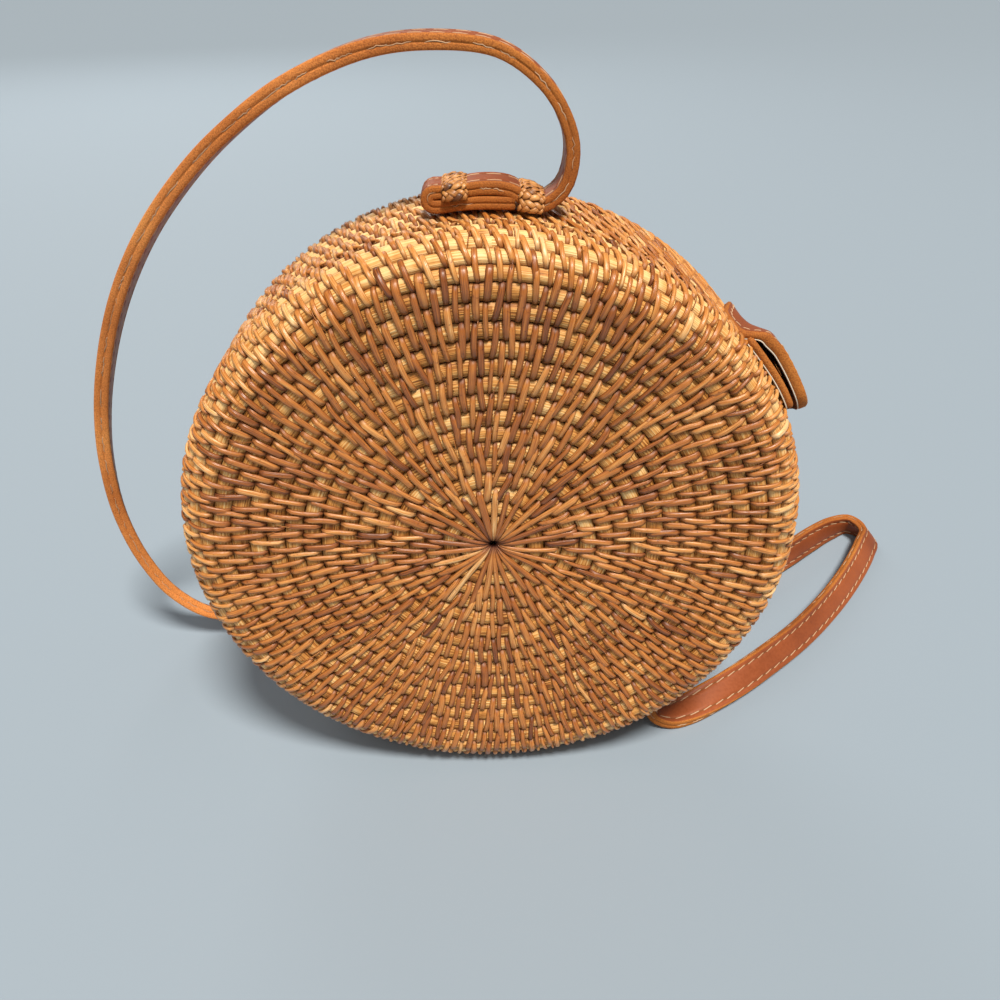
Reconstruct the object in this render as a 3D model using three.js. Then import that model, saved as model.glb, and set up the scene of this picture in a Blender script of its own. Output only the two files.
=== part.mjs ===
// Round rattan shoulder bag: a front and a back half of coiled rattan on a woven hinge, a leather strap
// whose folded ends are held by plaited rattan knots, and a leather closure flap over a snap.
// Millimetres. X points right, Y from the front face to the back, Z up. The origin is on the ground, under
// the bag, which stands on its rim. Angles round the bag are in degrees, clockwise from the top as seen
// from the front.
import * as THREE from "three";

// Bag
const RADIUS = 100; // axis to the flat of the rim
const DEPTH = 69;
const WALL = 4.5; // one coil thick
const CORNER = 12.5; // rounding between a face and the rim
const DISH = 2.5; // each face sinks by this much at its hub
const SEAM_Y = -14; // where the halves meet
const SEAM_GAP = 0.4;
const SIDES = 36; // flats round the rim
const CLEAR = 0.3; // gap between touching pieces

// Coils of the weave, as low ridges
const FRONT_ROWS = 21;
const BACK_ROWS = 26;
const GROOVE = 1.2;
const RIM_FLAT = 0.5; // share of a coil's pitch that is flat on the rim
const HUB_HOLE = { radius: 1.3, depth: 2.5 };

// Strap: two plies of leather sewn flat, with each end folded under itself
const STRAP = { width: 12.5, thick: 3.9, y: -3, foldRadius: 2.12, step: 7, offGround: 0.1 };
const STRAP_ENDS = [0, 116]; // angles of the two places where it is tied on

// Plaited knots over the strap ends: along is the place on the rim, foot and top are heights above it
const KNOT = { length: 7, wall: 1.4 };
const KNOTS = [
  { name: "fold", along: -9.4, foot: 4, top: 10.2 },
  { name: "exit", along: 11.3, foot: 0.3, top: 8.6 },
];

// Closure. The flap is sewn to the back half a little askew: skew is how far its back end is turned on.
const CLOSURE_ANGLE = 54;
const BASE = { from: 48.5, to: 64.5, skew: 0, thick: 2.1, front: -24, back: -14.7, corner: 3 };
const FLAP = { from: 43, to: 65.5, skew: 9, thick: 2.3, front: -23, back: 14, corner: 7 };
const FLAP_RISE = { from: 44.5, to: 48.2, liftTo: 54, lift: 1.3 }; // where it climbs on the base, then lifts off it
const FLAP_STEP = { from: -13, to: -1 }; // depth over which it comes back down on the back half
const SNAP = { angle: 57, y: -19, radius: 3.2, thick: 0.8 };

// Hinge, opposite the closure
const HINGE_ANGLE = CLOSURE_ANGLE + 180;
const HINGE = { length: 8, gap: 0.4, ring: 2.9, pin: 1.3, leaf: 1.4, backLeaf: 14, frontLeaf: 8, pinLength: 26 };

// Centre line of the strap where it arches over the bag and comes down behind its left side. turn goes from
// 0, with the strap's width along Y, to 1, with its width along ARCH_TILT.
const ARCH_TILT = new THREE.Vector3(-0.34, 0.77, -0.54);
const ARCH = [
  { x: 20.5, y: -3, z: 205.5, turn: 0 },
  { x: 22.5, y: -3, z: 210.4, turn: 0 },
  { x: 22.8, y: -3, z: 217.9, turn: 0 },
  { x: 20.1, y: -3, z: 225.6, turn: 0 },
  { x: 14.7, y: -2, z: 233, turn: 0 },
  { x: 2.8, y: -1, z: 240.9, turn: 0 },
  { x: -15.8, y: 1, z: 243, turn: 0 },
  { x: -33.4, y: 3, z: 240.9, turn: 0.05 },
  { x: -55.4, y: 7, z: 232.2, turn: 0.12 },
  { x: -74.4, y: 12, z: 219.8, turn: 0.2 },
  { x: -90.4, y: 17.1, z: 206.3, turn: 0.32 },
  { x: -108.3, y: 23.1, z: 186.9, turn: 0.45 },
  { x: -123.1, y: 29.1, z: 165.4, turn: 0.6 },
  { x: -134.9, y: 34.2, z: 142, turn: 0.75 },
  { x: -144, y: 38.2, z: 116.4, turn: 0.85 },
  { x: -148.8, y: 40.7, z: 92.8, turn: 0.92 },
  { x: -150.1, y: 43.2, z: 66.5, turn: 1 },
  { x: -146.1, y: 45.2, z: 42.3, turn: 1 },
  { x: -137.6, y: 46.7, z: 23.2, turn: 1 },
  { x: -124.8, y: 48.4, z: 11, turn: 1 },
  { x: -106.5, y: 51, z: 7.4, turn: 1 },
];

// The strap along the ground, round behind the bag and back to its front right. lean is how far the strap
// tips from standing on its edge, with its lower edge outwards.
const GROUND = [
  { x: -82, y: 53.5, lean: 20 },
  { x: -52, y: 54, lean: 4 },
  { x: -10, y: 52.5, lean: 0 },
  { x: 40, y: 51.5, lean: 0 },
  { x: 85, y: 56, lean: -4 },
  { x: 120, y: 69, lean: -10 },
  { x: 148, y: 90, lean: -18 },
  { x: 164, y: 103, lean: -18 },
  { x: 177, y: 112, lean: -6 },
  { x: 187.4, y: 114, lean: 20 },
  { x: 193.4, y: 104.2, lean: 32 },
  { x: 187.9, y: 92.8, lean: 28 },
  { x: 172.3, y: 69.7, lean: 24 },
  { x: 154.7, y: 48.5, lean: 22 },
  { x: 135.4, y: 29.2, lean: 22 },
  { x: 113, y: 11.4, lean: 30 },
  { x: 100.7, y: 3.1, lean: 42 },
  { x: 86.8, y: -4.7, lean: 66 },
  { x: 76.5, y: -9.3, lean: 84 },
];

// The turn from the ground up to the rim: an arc of this radius against the ground, then clear of the rim
const TURN = { radius: 9, angle: 141.7, clear: 1.5, yLow: -11, yHigh: -8.5 };
const RISE = [
  { angle: 137, clear: 1.5, y: -6.5 },
  { angle: 131, clear: 1.1, y: -4.5 },
];

const RIM = RADIUS / Math.cos(Math.PI / SIDES); // radius at the corners between the flats
const FACE_RADIUS = RADIUS - CORNER;
const UP = new THREE.Vector3(0, 0, 1);
const ACROSS = new THREE.Vector3(0, 1, 0);
const radians = THREE.MathUtils.degToRad;

const rattan = new THREE.MeshStandardMaterial({ color: 0xb98446, roughness: 0.55 });
const knotRattan = new THREE.MeshStandardMaterial({ color: 0xc48a4a, roughness: 0.5 });
const leather = new THREE.MeshStandardMaterial({ color: 0xa5582d, roughness: 0.5 });
const brass = new THREE.MeshStandardMaterial({ color: 0xb08d4f, roughness: 0.35, metalness: 1 });

function solid(name, geometry, material) {
  const mesh = new THREE.Mesh(geometry, material);
  mesh.name = name;
  return mesh;
}

// A place on the rim in the bag's own frame, whose origin is on the bag's axis.
function onRim(angle, y, height) {
  const radius = RIM + height;
  const turn = radians(angle);
  return new THREE.Vector3(radius * Math.sin(turn), y, radius * Math.cos(turn));
}

// Outer line of a half from its hub to the seam, by the distance along it. depth counts from the face plane.
function meridian(distance) {
  const arcLength = (CORNER * Math.PI) / 2;
  if (distance < FACE_RADIUS) {
    const sink = DISH * (1 - (distance / FACE_RADIUS) ** 2);
    return { radius: distance, depth: sink, out: { radius: 0, depth: -1 }, rim: false };
  }
  if (distance < FACE_RADIUS + arcLength) {
    const turn = (distance - FACE_RADIUS) / CORNER;
    const out = { radius: Math.sin(turn), depth: -Math.cos(turn) };
    return {
      radius: FACE_RADIUS + CORNER * out.radius,
      depth: CORNER * (1 + out.depth),
      out,
      rim: false,
    };
  }
  const depth = CORNER + distance - FACE_RADIUS - arcLength;
  return { radius: RADIUS, depth, out: { radius: 1, depth: 0 }, rim: true };
}

// One half of the bag. rows coils run from the hub to the seam, and depth is from its face to the seam.
function halfProfile(rows, depth) {
  const length = FACE_RADIUS + (CORNER * Math.PI) / 2 + depth - CORNER;
  const pitch = length / rows;
  const profile = [
    [0, DISH + HUB_HOLE.depth],
    [HUB_HOLE.radius, DISH + HUB_HOLE.depth],
    [HUB_HOLE.radius + 1, DISH],
  ];
  const add = (distance, sink) => {
    const at = meridian(distance);
    profile.push([at.radius - at.out.radius * sink, at.depth - at.out.depth * sink]);
  };
  for (let row = 1; row < rows; row++) {
    const start = row * pitch;
    const middle = start + pitch / 2;
    add(start, GROOVE);
    if (meridian(start).rim) {
      add(middle - (pitch * RIM_FLAT) / 2, 0);
      add(middle + (pitch * RIM_FLAT) / 2, 0);
    } else {
      add(middle, 0);
    }
  }
  add(length, GROOVE);
  const inner = RADIUS - WALL;
  const innerCorner = CORNER - WALL;
  profile.push([inner, depth]);
  for (const turn of [90, 60, 30, 0]) {
    profile.push([
      FACE_RADIUS + innerCorner * Math.sin(radians(turn)),
      CORNER - innerCorner * Math.cos(radians(turn)),
    ]);
  }
  profile.push([FACE_RADIUS / 2, WALL + DISH * 0.75], [0, WALL + DISH]);
  return profile;
}

// Turns a half's profile round the axis. side is -1 for the front half and 1 for the back half.
function halfShell(rows, depth, side) {
  const points = halfProfile(rows, depth).map(
    ([radius, inwards]) => new THREE.Vector2((radius * RIM) / RADIUS, side * (DEPTH / 2 - inwards)),
  );
  if (side > 0) points.reverse();
  return new THREE.LatheGeometry(points, SIDES, Math.PI / SIDES);
}

// A sheet of leather on the rim. heightAt gives its underside above the rim.
function rimSheet({ from, to, skew, thick, front, back, corner }, columns, rows, heightAt) {
  const halfWidth = (radians(to - from) / 2) * RIM;
  const frontEdge = (share) => {
    const past = Math.abs(2 * share - 1) * halfWidth - (halfWidth - corner);
    return past > 0 ? front + corner - Math.sqrt(corner ** 2 - past ** 2) : front;
  };
  const positions = [];
  for (const layer of [0, thick]) {
    for (let i = 0; i <= columns; i++) {
      const share = i / columns;
      const start = frontEdge(share);
      for (let j = 0; j <= rows; j++) {
        const y = start + ((back - start) * j) / rows;
        const angle = from + (to - from) * share + (skew * (y - front)) / (back - front);
        positions.push(...onRim(angle, y, heightAt(angle, y) + layer).toArray());
      }
    }
  }
  return gridSolid(positions, columns, rows);
}

// Closes two layers of a grid of points into one solid. The second layer is the outer one.
function gridSolid(positions, columns, rows) {
  const across = rows + 1;
  const layerSize = (columns + 1) * across;
  const at = (layer, i, j) => layer * layerSize + i * across + j;
  const faces = [];
  const quad = (a, b, c, d) => faces.push(a, c, b, a, d, c);
  for (let i = 0; i < columns; i++) {
    for (let j = 0; j < rows; j++) {
      quad(at(0, i, j), at(0, i + 1, j), at(0, i + 1, j + 1), at(0, i, j + 1));
      quad(at(1, i, j), at(1, i, j + 1), at(1, i + 1, j + 1), at(1, i + 1, j));
    }
    quad(at(0, i, 0), at(1, i, 0), at(1, i + 1, 0), at(0, i + 1, 0));
    quad(at(0, i, rows), at(0, i + 1, rows), at(1, i + 1, rows), at(1, i, rows));
  }
  for (let j = 0; j < rows; j++) {
    quad(at(0, 0, j), at(0, 0, j + 1), at(1, 0, j + 1), at(1, 0, j));
    quad(at(0, columns, j), at(1, columns, j), at(1, columns, j + 1), at(0, columns, j + 1));
  }
  return new THREE.BufferGeometry()
    .setAttribute("position", new THREE.Float32BufferAttribute(positions, 3))
    .setIndex(faces);
}

// Height of the flap's underside: it lies on the rim, and in front it climbs over the base and lifts.
function flapHeight(angle, y) {
  const climb = THREE.MathUtils.smoothstep(angle, FLAP_RISE.from, FLAP_RISE.to);
  const free = THREE.MathUtils.smoothstep(angle, FLAP_RISE.to, FLAP_RISE.liftTo);
  const over = 1 - THREE.MathUtils.smoothstep(y, FLAP_STEP.from, FLAP_STEP.to);
  return CLEAR + over * (climb * (BASE.thick + CLEAR) + free * FLAP_RISE.lift);
}

// Centre line of a strap end, from its cut end to where it leaves the exit knot: along is the distance on
// the rim, and height is above it. It lies on the rim, folds back over itself, arches and comes down again.
function strapEnd() {
  const low = CLEAR + STRAP.thick / 2;
  const fold = { along: -15, height: low + STRAP.foldRadius };
  const high = low + 2 * STRAP.foldRadius;
  const folded = [225, 180, 135].map((turn) => ({
    along: fold.along + STRAP.foldRadius * Math.cos(radians(turn)),
    height: fold.height + STRAP.foldRadius * Math.sin(radians(turn)),
  }));
  return [
    { along: 2.5, height: low },
    { along: -6, height: low },
    { along: fold.along, height: low },
    ...folded,
    { along: fold.along, height: high },
    { along: -9.4, height: high },
    { along: -5, height: high + 0.2 },
    { along: -1, height: high + 0.3 },
    { along: 3.4, height: high },
    { along: 6.4, height: high - 1.2 },
    { along: 9.2, height: low + 1.5 },
    { along: 12, height: low + 0.5 },
    { along: 15, height: low + 0.2 },
  ];
}

// A strap end as rows of place and width direction, in the object's frame. Its width runs along Y.
function strapEndRows(angle, width) {
  return strapEnd().map(({ along, height }) => {
    const turn = THREE.MathUtils.radToDeg(along / RIM);
    return { place: toObject(onRim(angle + turn, STRAP.y, height)), width };
  });
}

// From the bag's own frame to the object's frame.
function toObject(place) {
  return place.clone().addScaledVector(UP, RADIUS);
}

function archRows() {
  return ARCH.map(({ x, y, z, turn }) => ({
    place: new THREE.Vector3(x, y, z),
    width: ACROSS.clone().lerp(ARCH_TILT, turn).normalize(),
  }));
}

// The strap on the ground: its height and width direction follow from its lean and from which way it runs.
function groundRows() {
  return GROUND.map(({ x, y, lean }, i) => {
    const before = GROUND[Math.max(0, i - 1)];
    const after = GROUND[Math.min(GROUND.length - 1, i + 1)];
    const outwards = new THREE.Vector3(before.y - after.y, after.x - before.x, 0).normalize();
    const tip = radians(lean);
    const height = (STRAP.width * Math.abs(Math.cos(tip)) + STRAP.thick * Math.abs(Math.sin(tip))) / 2;
    return {
      place: new THREE.Vector3(x, y, height + STRAP.offGround),
      width: outwards.multiplyScalar(Math.sin(tip)).addScaledVector(UP, -Math.cos(tip)),
    };
  });
}

// From the ground up to the second strap end.
function turnRows(width) {
  const pathHeight = TURN.clear + STRAP.thick / 2;
  const hub = toObject(onRim(TURN.angle, 0, pathHeight + TURN.radius));
  const rows = [270, 225, 180, 180 - (TURN.angle - 90)].map((turn, i, turns) => {
    const y = THREE.MathUtils.lerp(TURN.yLow, TURN.yHigh, i / (turns.length - 1));
    const place = new THREE.Vector3(
      hub.x + TURN.radius * Math.cos(radians(turn)),
      y,
      hub.z + TURN.radius * Math.sin(radians(turn)),
    );
    return { place, width };
  });
  for (const { angle, clear, y } of RISE) {
    rows.push({ place: toObject(onRim(angle, y, clear + STRAP.thick / 2)), width });
  }
  return rows;
}

// Sweeps the strap's flat section along its rows.
function strapGeometry() {
  const back = ACROSS.clone().negate();
  const rows = [
    ...strapEndRows(STRAP_ENDS[0], ACROSS),
    ...archRows(),
    ...groundRows(),
    ...turnRows(back),
    ...strapEndRows(STRAP_ENDS[1], back).reverse(),
  ];
  const curve = new THREE.CatmullRomCurve3(rows.map((row) => row.place));
  const frames = [];
  const last = rows.length - 1;
  const addFrame = (t) => {
    const row = Math.min(last - 1, Math.floor(t));
    const along = curve.getTangent(t / last);
    const width = rows[row].width.clone().lerp(rows[row + 1].width, t - row);
    width.addScaledVector(along, -width.dot(along)).normalize();
    frames.push({ place: curve.getPoint(t / last), width, normal: along.cross(width) });
  };
  for (let row = 0; row < last; row++) {
    const steps = Math.max(1, Math.round(rows[row].place.distanceTo(rows[row + 1].place) / STRAP.step));
    for (let step = 0; step < steps; step++) addFrame(row + step / steps);
  }
  addFrame(last);

  const corners = [[-1, -1], [1, -1], [1, 1], [-1, 1]];
  const positions = frames.flatMap(({ place, width, normal }) =>
    corners.flatMap(([w, n]) =>
      place
        .clone()
        .addScaledVector(width, (w * STRAP.width) / 2)
        .addScaledVector(normal, (n * STRAP.thick) / 2)
        .toArray(),
    ),
  );
  const sides = corners.length;
  const faces = [];
  for (let i = 0; i < frames.length - 1; i++) {
    for (let k = 0; k < sides; k++) {
      const a = i * sides + k;
      const b = i * sides + ((k + 1) % sides);
      faces.push(a, b, b + sides, a, b + sides, a + sides);
    }
  }
  const end = (frames.length - 1) * sides;
  faces.push(0, 2, 1, 0, 3, 2, end, end + 1, end + 2, end, end + 2, end + 3);
  return new THREE.BufferGeometry()
    .setAttribute("position", new THREE.Float32BufferAttribute(positions, 3))
    .setIndex(faces);
}

// Stands a flat shape, drawn across the rim and outwards, along the rim, with its middle at the origin.
function alongRim(shape, length, curveSegments) {
  const geometry = new THREE.ExtrudeGeometry(shape, { depth: length, bevelEnabled: false, curveSegments });
  geometry.translate(0, 0, -length / 2);
  const basis = new THREE.Matrix4().makeBasis(ACROSS, UP, new THREE.Vector3(1, 0, 0));
  return geometry.applyMatrix4(basis);
}

// A knot: a band over the strap with a leg down each edge.
function knotGeometry(foot, top) {
  const inside = STRAP.width / 2 + CLEAR;
  const outside = inside + KNOT.wall;
  const round = KNOT.wall;
  const shape = new THREE.Shape();
  shape.moveTo(-outside, foot);
  shape.lineTo(-inside, foot);
  shape.lineTo(-inside, top - KNOT.wall);
  shape.lineTo(inside, top - KNOT.wall);
  shape.lineTo(inside, foot);
  shape.lineTo(outside, foot);
  shape.lineTo(outside, top - round);
  shape.absarc(outside - round, top - round, round, 0, Math.PI / 2, false);
  shape.absarc(-outside + round, top - round, round, Math.PI / 2, Math.PI, false);
  shape.closePath();
  return alongRim(shape, KNOT.length, 3);
}

// A hinge loop: a ring round the pin with a leaf on the rim.
function hingeLoop(leafLength) {
  const centre = CLEAR + HINGE.ring;
  const leafTop = CLEAR + HINGE.leaf;
  const shape = new THREE.Shape();
  shape.moveTo(leafLength, CLEAR);
  shape.lineTo(leafLength, leafTop);
  shape.absarc(0, centre, HINGE.ring, Math.asin((leafTop - centre) / HINGE.ring), (3 * Math.PI) / 2, false);
  shape.closePath();
  const hole = new THREE.Path();
  hole.absarc(0, centre, HINGE.pin + CLEAR, 0, 2 * Math.PI, true);
  shape.holes.push(hole);
  return alongRim(shape, HINGE.length, 8);
}

const bag = new THREE.Group();
bag.position.z = RADIUS;

const frontDepth = SEAM_Y - SEAM_GAP / 2 + DEPTH / 2;
const backDepth = DEPTH / 2 - SEAM_Y - SEAM_GAP / 2;
bag.add(solid("front_shell", halfShell(FRONT_ROWS, frontDepth, -1), rattan));
bag.add(solid("back_shell", halfShell(BACK_ROWS, backDepth, 1), rattan));

const baseHeight = () => CLEAR;
bag.add(solid("closure_base", rimSheet(BASE, 8, 4, baseHeight), leather));
bag.add(solid("closure_flap", rimSheet(FLAP, 12, 10, flapHeight), leather));

// A group whose X runs along the rim at an angle, with Z outwards from the rim.
function rimGroup(angle) {
  const group = new THREE.Group();
  group.position.copy(onRim(angle, 0, 0));
  group.rotation.y = radians(angle);
  bag.add(group);
  return group;
}

const snap = solid("snap_stud", new THREE.CylinderGeometry(SNAP.radius, SNAP.radius, SNAP.thick, 20), brass);
snap.rotation.x = Math.PI / 2;
snap.position.set(0, SNAP.y, 2 * CLEAR + BASE.thick + SNAP.thick / 2);
rimGroup(SNAP.angle).add(snap);

STRAP_ENDS.forEach((angle, i) => {
  for (const { name, along, foot, top } of KNOTS) {
    const knot = solid(`knot_${name}_${i + 1}`, knotGeometry(foot, top), knotRattan);
    knot.position.y = STRAP.y;
    rimGroup(angle + THREE.MathUtils.radToDeg(along / RIM)).add(knot);
  }
});

const hinge = rimGroup(HINGE_ANGLE);
for (const [name, place, leaf] of [
  ["hinge_loop_back_1", -1, HINGE.backLeaf],
  ["hinge_loop_front", 0, HINGE.frontLeaf],
  ["hinge_loop_back_2", 1, HINGE.backLeaf],
]) {
  const loop = solid(name, hingeLoop(leaf), rattan);
  loop.position.set(place * (HINGE.length + HINGE.gap), SEAM_Y, 0);
  if (place === 0) loop.rotation.z = Math.PI;
  hinge.add(loop);
}
const pinShape = new THREE.CylinderGeometry(HINGE.pin, HINGE.pin, HINGE.pinLength, 12);
const pin = solid("hinge_pin", pinShape, rattan);
pin.rotation.z = Math.PI / 2;
pin.position.set(0, SEAM_Y, CLEAR + HINGE.ring);
hinge.add(pin);

const model = new THREE.Group();
model.add(bag);
model.add(solid("strap", strapGeometry(), leather));

export default model;
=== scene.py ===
import math

import bpy
import numpy as np
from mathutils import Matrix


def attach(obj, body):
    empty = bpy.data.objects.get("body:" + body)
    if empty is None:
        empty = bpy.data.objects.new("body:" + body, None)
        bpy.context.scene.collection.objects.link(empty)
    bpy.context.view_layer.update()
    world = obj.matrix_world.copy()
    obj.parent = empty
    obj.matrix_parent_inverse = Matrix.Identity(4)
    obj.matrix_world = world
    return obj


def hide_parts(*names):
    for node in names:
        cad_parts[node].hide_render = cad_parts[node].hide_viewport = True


# A round rattan shoulder bag. Lengths are in millimetres until a mesh is made. Angles round the bag are
# clockwise from the top as seen from the front. Heights count outwards from the bag's outer surface.
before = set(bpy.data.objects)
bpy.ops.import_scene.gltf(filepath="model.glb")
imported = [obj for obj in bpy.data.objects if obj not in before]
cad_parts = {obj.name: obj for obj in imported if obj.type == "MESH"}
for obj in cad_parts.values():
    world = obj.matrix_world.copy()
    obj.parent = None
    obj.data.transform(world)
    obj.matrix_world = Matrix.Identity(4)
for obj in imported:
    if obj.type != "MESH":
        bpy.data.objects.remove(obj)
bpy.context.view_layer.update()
random = np.random.default_rng(11)

RADIUS, DEPTH, CORNER, DISH = 100.0, 69.0, 12.5, 2.5
FACE = RADIUS - CORNER
ARC = CORNER * math.pi / 2
SEAM_Y, SEAM_GAP = -14.0, 0.4
RIM = RADIUS / math.cos(math.pi / 36)
CLEAR = 0.3
Y_AXIS = np.array([0, 1.0, 0])


# Meshes

def add_object(name, data):
    """Puts a new object in the scene."""
    new = bpy.data.objects.new(name, data)
    bpy.context.scene.collection.objects.link(new)
    return new


def as_piece(name, arrays, body, materials, replaces=(), attributes=None, material_index=None):
    """Puts a mesh on a body, from its points, its faces' corners and sizes and, for the grain, their uv."""
    verts, loops, sizes, *uv = arrays
    starts = np.concatenate([[0], np.cumsum(sizes)[:-1]])
    mesh = bpy.data.meshes.new(name)
    mesh.vertices.add(len(verts))
    mesh.vertices.foreach_set("co", (verts * 0.001).astype(np.float32).ravel())
    mesh.loops.add(len(loops))
    mesh.loops.foreach_set("vertex_index", loops.astype(np.int32))
    mesh.polygons.add(len(sizes))
    mesh.polygons.foreach_set("loop_start", starts.astype(np.int32))
    mesh.polygons.foreach_set("use_smooth", np.full(len(sizes), True))
    if material_index is not None:
        mesh.polygons.foreach_set("material_index", material_index.astype(np.int32))
    if uv:
        layer = mesh.uv_layers.new(name="grain")
        layer.data.foreach_set("uv", uv[0].astype(np.float32).ravel())
    for key, values in (attributes or {}).items():
        attribute = mesh.attributes.new(key, "FLOAT", "POINT")
        attribute.data.foreach_set("value", np.asarray(values, np.float32).ravel())
    mesh.update()
    mesh.validate()
    for material in materials:
        mesh.materials.append(material)
    piece = add_object(name, mesh)
    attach(piece, body)
    if replaces:
        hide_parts(*replaces)


def tubes(points, along=None, closed=False):
    """Faces of many tubes at once. points has the shape (tubes, steps, sides, 3), and along gives each step's
    place on its tube, for the grain. Open tubes get flat ends."""
    count, steps, sides, _ = points.shape
    if along is None:
        along = np.broadcast_to(np.arange(steps, dtype=float), (count, steps))
    spans = steps if closed else steps - 1
    tube, i, j = np.meshgrid(np.arange(count), np.arange(spans), np.arange(sides), indexing="ij")
    base = tube * steps * sides
    corners = ((0, 0), (1, 0), (1, 1), (0, 1))
    quads = np.stack([base + (i + di) % steps * sides + (j + dj) % sides for di, dj in corners], -1)
    u = np.asarray(along, float)
    if closed:
        u = np.concatenate([u, u[:, -1:] + (u[:, -1:] - u[:, -2:-1])], 1)
    uv = np.stack([np.stack([u[tube, i + di], (j + dj) / sides], -1) for di, dj in corners], -2)
    a, b, c = points[tube, i, j], points[tube, (i + 1) % steps, j], points[tube, i, (j + 1) % sides]
    middle = points.mean(2)[tube, i]
    outwards = np.einsum("...k,...k", np.cross(b - a, c - a), a - middle).sum()
    if outwards < 0:
        quads, uv = quads[..., ::-1], uv[..., ::-1, :]
    loops, sizes, uvs = [quads.reshape(-1)], [np.full(quads.size // 4, 4)], [uv.reshape(-1, 2)]
    if not closed:
        ring = np.arange(sides)
        first = np.arange(count)[:, None] * steps * sides + ring
        last = first + (steps - 1) * sides
        first, last = (first, last[:, ::-1]) if outwards >= 0 else (first[:, ::-1], last)
        loops += [first.reshape(-1), last.reshape(-1)]
        sizes += [np.full(2 * count, sides)]
        uvs += [np.zeros((2 * count * sides, 2))]
    return points.reshape(-1, 3), np.concatenate(loops), np.concatenate(sizes), np.concatenate(uvs)


def round_tubes(centre, across, up, sides, radius, flat=1.0):
    """Tubes round centre lines, from arrays of (tube, step)."""
    q = np.arange(sides) * math.tau / sides
    ring = across[:, :, None] * np.cos(q)[:, None] + up[:, :, None] * np.sin(q)[:, None] * flat
    return tubes(centre[:, :, None] + ring * np.asarray(radius)[..., None, None])


def joined(parts):
    """Joins several (verts, loops, sizes, uv) into one."""
    verts, loops, sizes, uvs = zip(*parts)
    offsets = np.cumsum([0] + [len(v) for v in verts[:-1]])
    loops = [corners + offset for corners, offset in zip(loops, offsets)]
    return np.concatenate(verts), np.concatenate(loops), np.concatenate(sizes), np.concatenate(uvs)


def unit(vectors):
    return vectors / np.linalg.norm(vectors, axis=-1, keepdims=True)


def lengths(points):
    """The distance along a line at each of its points."""
    return np.concatenate([[0], np.cumsum(np.linalg.norm(np.diff(points, axis=0), axis=1))])


# Materials

class Look:
    """A material, with short ways to add nodes to it."""

    def __init__(self, name):
        self.material = bpy.data.materials.new(name)
        self.material.use_nodes = True
        self.tree = self.material.node_tree
        self.shader = self.tree.nodes["Principled BSDF"]

    def put(self, value, socket):
        """Links another node's output to an input, or sets the input to a value."""
        if isinstance(value, bpy.types.NodeSocket):
            self.tree.links.new(value, socket)
        else:
            socket.default_value = value

    def node(self, kind, **inputs):
        node = self.tree.nodes.new("ShaderNode" + kind)
        for key, value in inputs.items():
            self.put(value, node.inputs[key])
        return node

    def ramp(self, place, stops):
        node = self.node("ValToRGB", Fac=place)
        elements = node.color_ramp.elements
        while len(elements) < len(stops):
            elements.new(0.5)
        for element, (position, colour) in zip(elements, stops):
            element.position = position
            element.color = (*colour, 1)
        return node.outputs["Color"]

    def noise(self, scale, detail=3.0, source="UV"):
        coords = self.node("TexCoord")
        mapping = self.node("Mapping", Vector=coords.outputs[source], Scale=scale)
        noise = self.node("TexNoise", Vector=mapping.outputs["Vector"], Scale=1.0, Detail=detail)
        return noise.outputs["Fac"]

    def maths(self, operation, *values):
        node = self.node("Math")
        node.operation = operation
        for value, socket in zip(values, node.inputs):
            self.put(value, socket)
        return node.outputs[0]

    def mix(self, blend, factor, a, b):
        node = self.node("Mix")
        node.data_type = "RGBA"
        node.blend_type = blend
        sockets = {socket.identifier: socket for socket in node.inputs}
        for key, value in (("Factor_Float", factor), ("A_Color", a), ("B_Color", b)):
            self.put(value, sockets[key])
        return next(o for o in node.outputs if o.identifier == "Result_Color")

    def attribute(self, name):
        node = self.node("Attribute")
        node.attribute_name = name
        return node.outputs["Fac"]

    def finish(self, colour, roughness, gloss, height, strength, distance):
        """Sets the shader. height, strength and distance, in millimetres, are those of the bumps."""
        bump = self.node("Bump", Height=height, Strength=strength, Distance=distance * 0.001)
        inputs = {"Base Color": colour, "Roughness": roughness, "Specular IOR Level": gloss,
                  "Normal": bump.outputs["Normal"]}
        for key, value in inputs.items():
            self.put(value, self.shader.inputs[key])
        return self.material


WHITE = (1, 1, 1)


def strand_material(name, stops, dark, roughness):
    """Split cane: each strand has its own tone, with fine streaks along it, painted shade on its ends and
    sides, and duller ends.
    """
    look = Look(name)
    streaks = look.noise((0.12, 13.0, 1.0))
    tone = look.maths("MULTIPLY_ADD", streaks, 1.1, -0.53)
    colour = look.ramp(look.maths("ADD", tone, look.attribute("tone")), stops)
    worn = look.ramp(look.noise((0.9, 3.0, 1.0), 2.0), [(0.62, WHITE), (0.74, dark)])
    colour = look.mix("MULTIPLY", 0.6, colour, worn)
    # Painted shade: the shade attribute darkens each strand's ends and sides towards the dark colour, which
    # also colours the worn spots
    shade = look.attribute("shade")
    colour = look.mix("MULTIPLY", 1.0, colour, look.ramp(shade, [(0.0, dark), (1.0, WHITE)]))
    dull = 0.45
    dullness = look.maths("MULTIPLY_ADD", shade, -dull, roughness + dull)
    return look.finish(colour, dullness, 0.68, streaks, 0.6, 0.3)


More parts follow.
